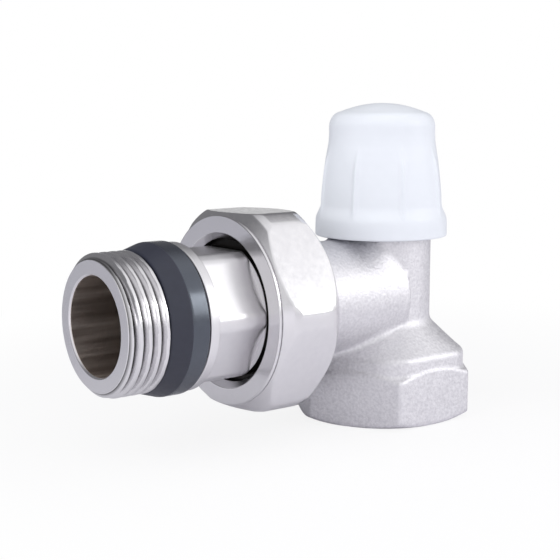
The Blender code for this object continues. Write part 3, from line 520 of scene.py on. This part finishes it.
def make_tail():
    near, far = tail_span("tailpiece")
    angle = ring_angles(MEDIUM)
    minor = PORT_THREAD[1]
    hex_sides = soft_min(prism(angle, HEX_FLAT, pi / 2), HEX_CORNER, 0.25)
    seat_end = far - PORT_THREAD_LENGTH
    flange_end = seat_end - SEAL_SEAT
    flange_start = flange_end - SEAL_FLANGE_WIDTH
    hex_end = flange_start - 0.25
    edge_start = hex_end - HEX_EDGE
    rows = rounded([
        (near, TAIL_BORE, 0), (near, TAIL_NOSE, 0.3), (O_RING_START, TAIL_NOSE, 0),
        (O_RING_START, O_RING_SEAT, 0), (O_RING_END, O_RING_SEAT, 0), (O_RING_END, TAIL_NOSE, 0),
        (UNION_FLANGE_START, TAIL_NOSE, 0.1), (UNION_FLANGE_START, UNION_FLANGE, 0.2),
        (UNION_FLANGE_END, UNION_FLANGE, 0.2), (UNION_FLANGE_END, SHOULDER, 0)])
    # The round shoulder is cut level above and below, where the hexagon has its flats
    shoulder = np.minimum(SHOULDER, HEX_FLAT / np.maximum(np.abs(np.cos(angle)), 0.1))
    rows += [(UNION_FLANGE_END + 0.02, shoulder), (SHOULDER_FACE - 0.1, shoulder)]
    rows += [(SHOULDER_FACE - 0.03, shoulder - 0.03), (SHOULDER_FACE, shoulder - 0.1)]
    for axial in (SHOULDER_FACE + 0.01, 42.0, 45.0, 48.0, edge_start - 0.15, edge_start):
        rows.append((axial, hex_sides))
    for step in range(1, HEX_EDGE_STEPS + 1):
        turn = step / HEX_EDGE_STEPS * pi / 2
        rows.append((edge_start + HEX_EDGE * sin(turn), hex_sides - HEX_EDGE_DROP * (1 - cos(turn))))
    rows += rounded([
        (hex_end, HEX_FLAT, 0), (flange_start, HEX_FLAT, 0), (flange_start, SEAL_FLANGE, 0.22),
        (flange_end, SEAL_FLANGE, 0.25), (flange_end, minor, 0), (seat_end - 0.2, minor, 0)])
    for axial, radius in thread_rows(PORT_THREAD, seat_end - 0.1, far - 0.02, MEDIUM, seat_end, steps=20):
        end_cone = PORT_THREAD_END + far - axial
        rows.append((axial, soft_min(radius, end_cone, 0.05)))
    chamfer = 0.33
    rows += rounded([
        (far, PORT_THREAD_END, 0), (far, TAIL_BORE + chamfer, 0.1), (far - chamfer, TAIL_BORE, 0.1),
        (near + 0.4, TAIL_BORE, 0)])
    return turned("tail_tube", rows, tailward, MEDIUM)


def make_seal():
    back, front = tail_span("tail_seal_ring")
    rows = rounded([
        (back, SEAL_INSIDE, 0), (back, SEAL_OUTSIDE, 0.5), (front - SEAL_TAPER, SEAL_OUTSIDE, 0.35),
        (front, SEAL_TIP, 0.45), (front, SEAL_INSIDE, 0)], steps=6)
    return turned("seal_ring", rows, tailward, MEDIUM)


# Cap

def smooth_through(points, count):
    """A smooth outline through (height, radius) points, as rings of equal height steps."""
    heights, radii = np.array(points).T
    slopes = np.gradient(radii, heights)
    rows = []
    for height in np.linspace(heights[0], heights[-1], count):
        k = min(max(np.searchsorted(heights, height) - 1, 0), len(heights) - 2)
        gap = heights[k + 1] - heights[k]
        t = (height - heights[k]) / gap
        start = (1 + 2 * t) * (1 - t) ** 2 * radii[k] + t * (1 - t) ** 2 * gap * slopes[k]
        end = t * t * (3 - 2 * t) * radii[k + 1] - t * t * (1 - t) * gap * slopes[k + 1]
        rows.append((height, start + end))
    return rows


def make_cap():
    bottom, top = span("cap", 2)
    angle = ring_angles(FINE)
    rows = rounded([
        (top - 2.2, 1.0, 0), (top - 2.7, CAP_HOLLOW, 1.0), (CAP_SOCKET_TOP, CAP_HOLLOW, 0.3),
        (CAP_SOCKET_TOP, CAP_SOCKET, 0.2), (bottom + 4.0, CAP_SOCKET, 0.2), (bottom + 4.0, 11.9, 0.3),
        (bottom, 12.28, 0.2)])
    rows += rounded([(bottom, 12.3, 0), (bottom, CAP_RIM, 0.35), (bottom + 0.8, CAP_RIM, 0)])
    shoulder = top - 4.6
    skirt = smooth_through([
        (bottom + 0.9, CAP_RIM), (bottom + 3.4, 13.78), (bottom + 5.4, 13.48), (bottom + 9.0, 13.25),
        (bottom + 12.3, 12.92), (bottom + 14.0, 12.70), (bottom + 15.7, 12.30), (bottom + 17.4, 11.72),
        (bottom + 19.0, 11.25), (bottom + 20.6, 11.08), (shoulder, CAP_CROWN)], 110)
    wave = np.cos(angle * FLUTES / 2)
    hollow = np.sqrt(wave * wave + 0.001) ** 0.6
    beside_ridge = 1 - np.exp(-(wave / RIDGE_WIDTH) ** 2)
    scallop = 0.6 * hollow + 0.4 * beside_ridge
    for axial, radius in skirt:
        rise = min((axial - bottom - 3.6) / 3.0, (bottom + 19.6 - axial) / 6.0)
        rise = min(max(rise, 0.0), 1.0)
        depth = FLUTE_DEPTH * rise * rise * (3 - 2 * rise)
        rows.append((axial, radius - depth * scallop))
    dome_foot = top - DOME_DROP
    bend = np.array((dome_foot - 0.45, 10.75))
    low_end, high_end = np.array((shoulder, CAP_CROWN)), np.array((dome_foot, DOME_RADIUS))
    for t in np.linspace(0.1, 1.0, 10):
        rows.append(tuple((1 - t) ** 2 * low_end + 2 * t * (1 - t) * bend + t * t * high_end))
    for t in np.linspace(0.9, 0.05, 16):
        rows.append((top - DOME_DROP * t * t, DOME_RADIUS * t))
    return turned("cap_shell", rows, upright, FINE, closed=False)


# Shader nodes

def ramp(nodes, links, value, start, end, low=0.0, high=1.0, kind="SMOOTHSTEP"):
    """A step between two values of a socket."""
    step = nodes.new("ShaderNodeMapRange")
    step.interpolation_type = kind
    step.inputs["From Min"].default_value = start
    step.inputs["From Max"].default_value = end
    step.inputs["To Min"].default_value = low
    step.inputs["To Max"].default_value = high
    links.new(value, step.inputs["Value"])
    return step.outputs["Result"]


def combined(nodes, links, operation, first, second):
    math = nodes.new("ShaderNodeMath")
    math.operation = operation
    links.new(first, math.inputs[0])
    links.new(second, math.inputs[1])
    return math.outputs["Value"]


def blended(nodes, links, share, first, second):
    """A colour that goes from the first to the second as a socket goes from 0 to 1."""
    mix = nodes.new("ShaderNodeMix")
    mix.data_type = "RGBA"
    mix.inputs["A"].default_value = (*first, 1.0)
    mix.inputs["B"].default_value = (*second, 1.0)
    links.new(share, mix.inputs["Factor"])
    return mix.outputs["Result"]


def mixed_shader(nodes, links, share, first, second):
    mix = nodes.new("ShaderNodeMixShader")
    links.new(share, mix.inputs["Fac"])
    links.new(first, mix.inputs[1])
    links.new(second, mix.inputs[2])
    return mix.outputs["Shader"]


def dot_with(nodes, links, vector, direction):
    """How far a vector socket points in a fixed direction."""
    dot = nodes.new("ShaderNodeVectorMath")
    dot.operation = "DOT_PRODUCT"
    dot.inputs[1].default_value = direction
    links.new(vector, dot.inputs[0])
    return dot.outputs["Value"]


def noise(nodes, links, place, scale, detail):
    texture = nodes.new("ShaderNodeTexNoise")
    texture.inputs["Scale"].default_value = scale
    texture.inputs["Detail"].default_value = detail
    links.new(place, texture.inputs["Vector"])
    return texture.outputs["Fac"]


def relief(nodes, links, height, strength, distance, under=None):
    """A bump, laid over another one if there is one."""
    bump = nodes.new("ShaderNodeBump")
    bump.inputs["Strength"].default_value = strength
    bump.inputs["Distance"].default_value = distance
    links.new(height, bump.inputs["Height"])
    if under is not None:
        links.new(under, bump.inputs["Normal"])
    return bump.outputs["Normal"]


# Materials

def new_material(name):
    material = bpy.data.materials.new(name)
    material.use_nodes = True
    return material, material.node_tree.nodes, material.node_tree.links


def lathe_marks(nodes, links, place):
    """Coordinates that only change along a lathe's axis and away from it."""
    coordinates = nodes.new("ShaderNodeTexCoord")
    centred = nodes.new("ShaderNodeMapping")
    split = nodes.new("ShaderNodeSeparateXYZ")
    away = nodes.new("ShaderNodeVectorMath")
    away.operation = "LENGTH"
    marks = nodes.new("ShaderNodeCombineXYZ")
    if place is tailward:
        centred.inputs["Location"].default_value = (0.0, 0.0, -TAIL_HEIGHT * MM)
        centred.inputs["Scale"].default_value = (0.0, 1.0, 1.0)
    else:
        centred.inputs["Scale"].default_value = (1.0, 1.0, 0.0)
    links.new(coordinates.outputs["Object"], centred.inputs["Vector"])
    links.new(coordinates.outputs["Object"], split.inputs["Vector"])
    links.new(centred.outputs["Vector"], away.inputs[0])
    links.new(split.outputs["X" if place is tailward else "Z"], marks.inputs["X"])
    links.new(away.outputs["Value"], marks.inputs["Y"])
    return marks.outputs["Vector"]


def metal(name, dark, light, rough, grain, bump, lathe=None, lines=0.0, stretch=(1.0, 1.0, 1.0)):
    """A metal whose tint and roughness vary with a fine grain, with turning lines if it has a lathe axis."""
    material, nodes, links = new_material(name)
    shader = nodes["Principled BSDF"]
    shader.inputs["Metallic"].default_value = 1.0
    coordinates = nodes.new("ShaderNodeTexCoord")
    drawn = nodes.new("ShaderNodeMapping")
    drawn.inputs["Scale"].default_value = stretch
    links.new(coordinates.outputs["Object"], drawn.inputs["Vector"])
    speckle = noise(nodes, links, drawn.outputs["Vector"], grain, 4.0)
    links.new(blended(nodes, links, speckle, dark, light), shader.inputs["Base Color"])
    roughness = ramp(nodes, links, speckle, 0.3, 0.7, *rough, kind="LINEAR")
    links.new(roughness, shader.inputs["Roughness"])
    normal = relief(nodes, links, speckle, bump, GRAIN_HEIGHT)
    if lathe:
        streaks = noise(nodes, links, lathe_marks(nodes, links, lathe), LATHE_LINES, 2.0)
        normal = relief(nodes, links, streaks, lines, LINE_HEIGHT, under=normal)
    links.new(normal, shader.inputs["Normal"])
    return material


def shade_roots(material, root, crest):
    """Darkens a metal between two radii round the tail axis, as in the roots of a thread."""
    nodes, links = material.node_tree.nodes, material.node_tree.links
    shader = nodes["Principled BSDF"]
    plate = shader.inputs["Base Color"].links[0].from_socket
    marks = nodes.new("ShaderNodeSeparateXYZ")
    links.new(lathe_marks(nodes, links, tailward), marks.inputs["Vector"])
    depth = ramp(nodes, links, marks.outputs["Y"], root * MM, crest * MM, kind="LINEAR")
    shade = nodes.new("ShaderNodeMix")
    shade.data_type = "RGBA"
    shade.inputs["A"].default_value = ROOT_SHADE
    links.new(depth, shade.inputs["Factor"])
    links.new(plate, shade.inputs["B"])
    links.new(shade.outputs["Result"], shader.inputs["Base Color"])


def plain(name, dark, light, rough, grain, bump):
    """The same grain on plastic or rubber."""
    material = metal(name, dark, light, rough, grain, bump)
    material.node_tree.nodes["Principled BSDF"].inputs["Metallic"].default_value = 0.0
    return material


# Studio

def backdrop_share(nodes, links, coordinates):
    """Where rays meet the white backdrop: all that the camera sees, and for mirrors a low band behind."""
    path = nodes.new("ShaderNodeLightPath")
    split = nodes.new("ShaderNodeSeparateXYZ")
    links.new(coordinates.outputs["Generated"], split.inputs["Vector"])
    behind = dot_with(nodes, links, coordinates.outputs["Generated"],
                      (-sin(CAMERA_AZIMUTH), cos(CAMERA_AZIMUTH), 0.0))
    low = ramp(nodes, links, split.outputs["Z"], 0.090, 0.097, 1.0, 0.0)
    sector = ramp(nodes, links, behind, 0.97, 0.99)
    band = combined(nodes, links, "MULTIPLY", low, sector)
    mirrored = combined(nodes, links, "MAXIMUM", path.outputs["Is Glossy Ray"],
                        path.outputs["Is Transmission Ray"])
    shown = combined(nodes, links, "MULTIPLY", mirrored, band)
    return combined(nodes, links, "MAXIMUM", path.outputs["Is Camera Ray"], shown)


def make_world():
    world = bpy.data.worlds.new("studio")
    bpy.context.scene.world = world
    world.use_nodes = True
    nodes, links = world.node_tree.nodes, world.node_tree.links
    nodes.clear()
    output = nodes.new("ShaderNodeOutputWorld")
    light = nodes.new("ShaderNodeBackground")
    seen = nodes.new("ShaderNodeBackground")
    seen.inputs["Color"].default_value = WHITE
    coordinates = nodes.new("ShaderNodeTexCoord")
    facing = dot_with(nodes, links, coordinates.outputs["Generated"], BRIGHT_SIDE)
    glow = ramp(nodes, links, facing, -0.20, 0.45)
    sky = blended(nodes, links, glow, (0.22, 0.22, 0.23), (0.98, 0.98, 1.0))
    links.new(sky, light.inputs["Color"])
    share = backdrop_share(nodes, links, coordinates)
    shown = mixed_shader(nodes, links, share, light.outputs["Background"], seen.outputs["Background"])
    links.new(shown, output.inputs["Surface"])


def floor_material():
    """A floor, pale in front and painted greyer behind as shade, that the camera sees nearly white with a
    soft shadow.
    """
    material, nodes, links = new_material("pale_floor")
    shader = nodes["Principled BSDF"]
    shader.inputs["Roughness"].default_value = 0.9
    shader.inputs["Specular IOR Level"].default_value = 0.0
    coordinates = nodes.new("ShaderNodeTexCoord")
    split = nodes.new("ShaderNodeSeparateXYZ")
    links.new(coordinates.outputs["Object"], split.inputs["Vector"])
    # Painted shade: the floor goes greyer towards the back
    depth = ramp(nodes, links, split.outputs["Y"], -0.08, 0.14)
    tint = blended(nodes, links, depth, (0.95, 0.94, 0.98), (0.52, 0.52, 0.56))
    links.new(tint, shader.inputs["Base Color"])
    glow = nodes.new("ShaderNodeEmission")
    glow.inputs["Color"].default_value = WHITE
    path = nodes.new("ShaderNodeLightPath")
    distance = nodes.new("ShaderNodeVectorMath")
    distance.operation = "LENGTH"
    links.new(coordinates.outputs["Object"], distance.inputs[0])
    fade = ramp(nodes, links, distance.outputs["Value"], 0.03, 0.16, 0.86, 1.0)
    share = combined(nodes, links, "MULTIPLY", path.outputs["Is Camera Ray"], fade)
    shown = mixed_shader(nodes, links, share, shader.outputs["BSDF"], glow.outputs["Emission"])
    links.new(shown, nodes["Material Output"].inputs["Surface"])
    return material


def make_floor():
    mesh = bpy.data.meshes.new("floor")
    half = FLOOR_HALF
    corners = [(-half, -half, 0), (half, -half, 0), (half, half, 0), (-half, half, 0)]
    mesh.from_pydata(corners, [], [(0, 1, 2, 3)])
    mesh.materials.append(floor_material())
    floor = bpy.data.objects.new("floor", mesh)
    bpy.context.scene.collection.objects.link(floor)
    floor.location.z = -FLOOR_DROP


def area_lamp(name, place, size, power, glossy=True):
    lamp = bpy.data.lights.new(name, "AREA")
    lamp.shape = "RECTANGLE"
    lamp.size, lamp.size_y = size
    lamp.energy = power
    holder = bpy.data.objects.new(name, lamp)
    holder.location = place
    holder.rotation_mode = "QUATERNION"
    holder.rotation_quaternion = (Vector(LAMP_TARGET) - Vector(place)).to_track_quat("-Z", "Y")
    holder.visible_camera = False
    holder.visible_glossy = glossy
    bpy.context.scene.collection.objects.link(holder)


def make_camera():
    data = bpy.data.cameras.new("camera")
    data.lens = CAMERA_LENS
    data.sensor_width = 36.0
    data.clip_start = 0.01
    camera = bpy.data.objects.new("camera", data)
    a, e = CAMERA_AZIMUTH, CAMERA_ELEVATION
    back = Vector((sin(a) * cos(e), -cos(a) * cos(e), sin(e)))
    camera.location = CAMERA_PLACE
    camera.rotation_mode = "QUATERNION"
    camera.rotation_quaternion = (-back).to_track_quat("-Z", "Y")
    bpy.context.scene.collection.objects.link(camera)
    bpy.context.scene.camera = camera


# Finishes, among them painted shade and painted reflection

def paint(piece, place, chosen, material):
    """Gives one of a piece's materials to the faces whose axial place and radius pass a test."""
    mesh = piece.data
    centres = np.empty(len(mesh.polygons) * 3)
    mesh.polygons.foreach_get("center", centres)
    x, y, z = centres.reshape(-1, 3).T / MM
    if place is tailward:
        axial, radius = -x, np.hypot(y, z - TAIL_HEIGHT)
    else:
        axial, radius = z, np.hypot(x, y)
    numbers = np.empty(len(mesh.polygons), dtype=np.int32)
    mesh.polygons.foreach_get("material_index", numbers)
    numbers[chosen(axial, radius)] = mesh.materials.find(material.name)
    mesh.polygons.foreach_set("material_index", numbers)


def dress(piece, body, nodes, slot, *materials):
    for material in materials:
        piece.data.materials.append(material)
    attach(piece, body)
    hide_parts(*nodes)


def refinish(material, *nodes):
    """Gives a material to CAD nodes that stay in view."""
    for name in nodes:
        for slot in frame["nodes"][name].material_slots:
            slot.material = material


def make_studio():
    bpy.context.scene.view_settings.view_transform = "Standard"
    make_camera()
    make_world()
    make_floor()
    area_lamp("softbox", (0.43, -0.40, 0.40), (0.55, 0.5), 0.08)
    area_lamp("strip", (0.41, -0.50, 0.28), (0.22, 0.34), 0.78)
    area_lamp("fill", (-0.64, 0.10, 0.38), (0.6, 0.6), 2.6, glossy=False)


def add_body():
    forged = metal("forged_nickel", (0.54, 0.53, 0.56), (0.93, 0.92, 0.94), (0.46, 0.58), 1800.0, 0.9)
    for piece in (make_forging(), make_inlet_thread(), make_spigot()):
        dress(piece, "body", ["valve_body"], "plated_body", forged)


def add_nut(gap_painted_shade):
    nut_plate = metal("milled_nickel", (0.72, 0.71, 0.73), (0.80, 0.79, 0.80), (0.16, 0.22), 900.0, 0.04)
    nut = make_nut()
    dress(nut, "nut", ["union_nut"], "plated_machined", nut_plate, gap_painted_shade)
    # Painted shade: the inside of the nut behind its mouth is dark metal
    paint(nut, tailward, lambda axial, radius: (axial < NUT_GAP_END) & (radius < NUT_GAP_RADIUS), gap_painted_shade)


def add_tail(gap_painted_shade):
    turned_plate = metal("turned_nickel", (0.72, 0.71, 0.73), (0.78, 0.77, 0.78), (0.20, 0.25), 600.0, 0.01,
                         lathe=tailward, lines=0.03)
    thread_plate = metal("thread_nickel", (0.72, 0.71, 0.73), (0.79, 0.78, 0.79), (0.18, 0.23), 600.0, 0.01)
    shade_roots(thread_plate, PORT_THREAD[1], PORT_THREAD[1] + ROOT_SHADE_HEIGHT)
    hex_plate = metal("hex_nickel", (0.74, 0.73, 0.75), (0.79, 0.78, 0.79), (0.29, 0.35), 900.0, 0.03)
    # Brass tone in the bore, with painted reflection bands as light streaks along the axis
    brass_bore_painted_streaks = metal("brass_bore_painted_streaks", (0.24, 0.17, 0.13), (1.0, 0.93, 0.87), (0.34, 0.50), 600.0, 0.05,
                      stretch=(0.06, 1.0, 1.0))
    tail = make_tail()
    bore_end = tail_span("tailpiece")[1] - BORE_FINISH_DEPTH
    dress(tail, "tail", ["tailpiece"], "plated_machined",
          turned_plate, brass_bore_painted_streaks, gap_painted_shade, hex_plate, thread_plate)
    # The bore gets its brass with the painted reflection streaks
    paint(tail, tailward,
          lambda axial, radius: (radius < BORE_FINISH_RADIUS) & (axial < bore_end), brass_bore_painted_streaks)
    # The hexagon gets its own plating; the tail inside the nut's mouth is then painted dark as shade
    for end, finish_and_shade in ((HEX_FINISH_END, hex_plate), (TAIL_GAP_END, gap_painted_shade)):
        paint(tail, tailward, lambda axial, radius: (axial < end) & (radius > BORE_FINISH_RADIUS), finish_and_shade)
    paint(tail, tailward,
          lambda axial, radius: (axial > THREAD_FINISH_START) & (radius > THREAD_FINISH_RADIUS),
          thread_plate)


def add_seal():
    glossy = plain("seal_rubber", (0.008, 0.009, 0.016), (0.015, 0.017, 0.026), (0.18, 0.23), 900.0, 0.02)
    shader = glossy.node_tree.nodes["Principled BSDF"]
    shader.inputs["Specular IOR Level"].default_value = 1.0
    shader.inputs["IOR"].default_value = 1.63
    shader.inputs["Specular Tint"].default_value = (0.80, 0.88, 1.0, 1.0)
    matt = plain("matt_rubber", (0.017, 0.019, 0.033), (0.025, 0.028, 0.045), (0.36, 0.46), 900.0, 0.03)
    seal = make_seal()
    taper_start = tail_span("tail_seal_ring")[1] - SEAL_TAPER
    dress(seal, "tail", ["tail_seal_ring"], "grey_rubber", glossy, matt)
    paint(seal, tailward, lambda axial, radius: axial > taper_start, matt)


def finish_inside():
    brass = metal("turned_brass", (0.60, 0.43, 0.19), (0.74, 0.56, 0.28), (0.24, 0.34), 900.0, 0.04,
                  lathe=upright, lines=0.08)
    steel = metal("spring_steel", (0.40, 0.41, 0.43), (0.56, 0.57, 0.60), (0.24, 0.36), 1200.0, 0.05)
    black = plain("black_rubber", (0.010, 0.010, 0.011), (0.028, 0.028, 0.030), (0.48, 0.62), 1500.0, 0.1)
    ptfe = plain("white_ptfe", (0.72, 0.72, 0.69), (0.82, 0.82, 0.79), (0.42, 0.55), 900.0, 0.05)
    refinish(brass, "bonnet", "gland_nut", "spindle", "valve_disc")
    refinish(steel, "spindle_circlip", "disc_clip", "disc_screw")
    refinish(black, "bonnet_gasket", "spindle_o_ring_lower", "spindle_o_ring_upper", "disc_washer",
             "union_o_ring")
    refinish(ptfe, "gland_washer")


def main():
    make_studio()
    add_body()
    # Dark metal painted where shade falls in the gap between nut and tail
    gap_painted_shade = metal("shaded_gap", (0.03, 0.03, 0.03), (0.06, 0.055, 0.05), (0.45, 0.6), 900.0, 0.1)
    add_nut(gap_painted_shade)
    add_tail(gap_painted_shade)
    add_seal()
    plastic = plain("cap_plastic", (0.76, 0.79, 0.84), (0.80, 0.83, 0.88), (0.40, 0.48), 300.0, 0.02)
    dress(make_cap(), "cap", ["cap"], "white_plastic", plastic)
    finish_inside()


main()
